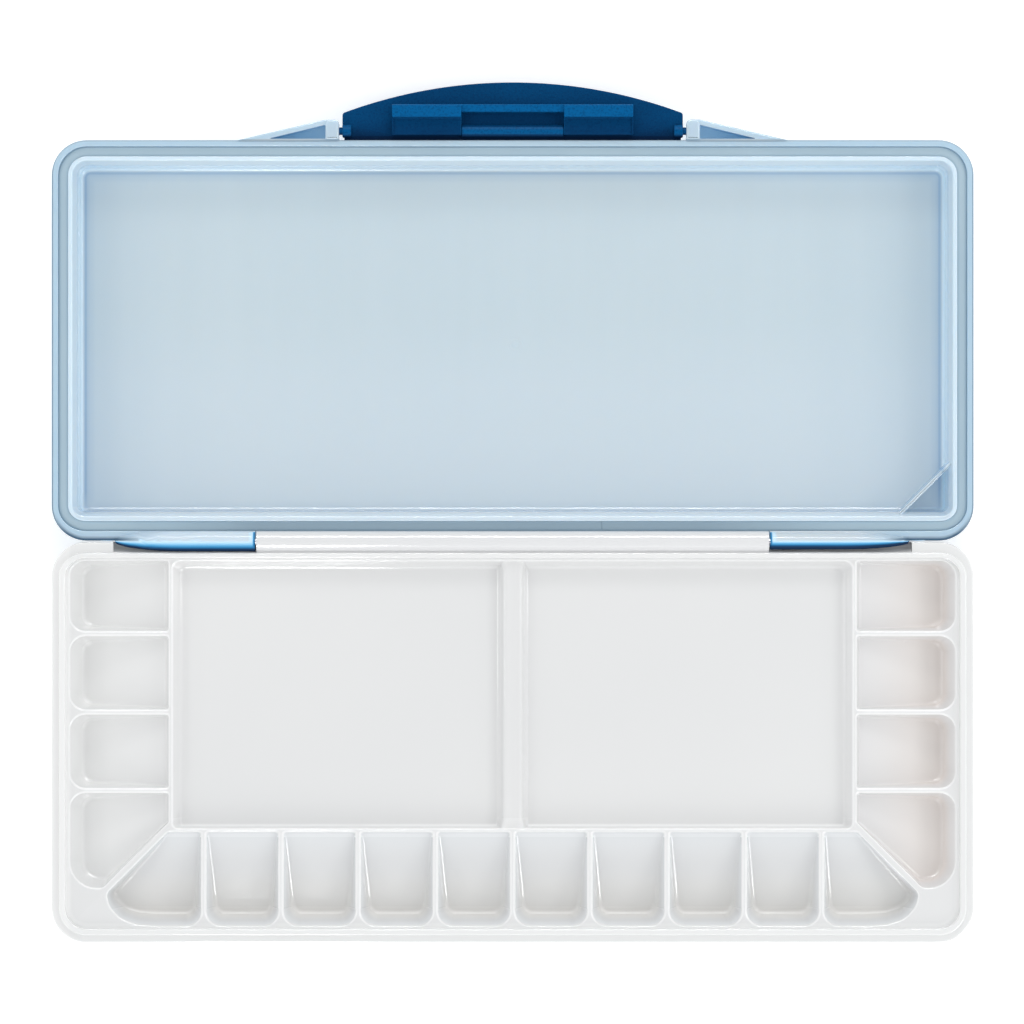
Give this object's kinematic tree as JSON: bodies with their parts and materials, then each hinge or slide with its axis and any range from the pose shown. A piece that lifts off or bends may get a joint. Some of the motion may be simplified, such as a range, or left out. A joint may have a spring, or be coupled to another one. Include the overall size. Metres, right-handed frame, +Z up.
{
  "type": "folding watercolour mixing palette",
  "caption": "Airtight folding watercolour palette: white tray of sloped wells and mixing areas, translucent blue hinged lid with a seal, swinging latch plate and folding thumb ring.",
  "frame": {"origin": "centre of the tray's footprint, on the plane the palette rests on (foot of the tray's keel)", "axes": "+X to the right along the palette's long side, +Y from the front edge of the tray towards the hinge and the open lid, +Z up"},
  "size_m": [0.29, 0.2707, 0.0188],
  "materials": {
    "tray_white": "glossy injection-moulded white plastic",
    "lid_blue": "translucent pale blue plastic, glossy rim and faintly frosted panel",
    "seal": "soft translucent grey-blue rubber",
    "latch_blue": "dark blue plastic with a fine moulded grain",
    "pin_steel": "plain drawn stainless wire"
  },
  "bodies": {
    "base": {"base_tray": "tray_white", "hinge_pin_left": "pin_steel", "hinge_pin_right": "pin_steel", "thumb_ring_pin": "pin_steel"},
    "lid": {"lid": "lid_blue", "lid_gasket": "seal"},
    "latch": {"latch_handle": "latch_blue"},
    "ring": {"thumb_ring": "latch_blue"}
  },
  "joints": [
    {"name": "lid_hinge", "type": "hinge", "parent": "base", "child": "lid", "pos_m": [0, 0.0632, 0.01545], "axis": [1, 0, 0], "range_deg": [0, 180]},
    {"name": "latch_pivot", "type": "hinge", "parent": "lid", "child": "latch", "pos_m": [0, 0.1923, 0.014], "axis": [1, 0, 0], "range_deg": [-35, 90], "stiffness_Nm_per_rad": 0.004},
    {"name": "ring_fold", "type": "hinge", "parent": "base", "child": "ring", "pos_m": [0.026, 0, 0.005], "axis": [0, 1, 0], "range_deg": [0, 90], "stiffness_Nm_per_rad": 0.01}
  ]
}
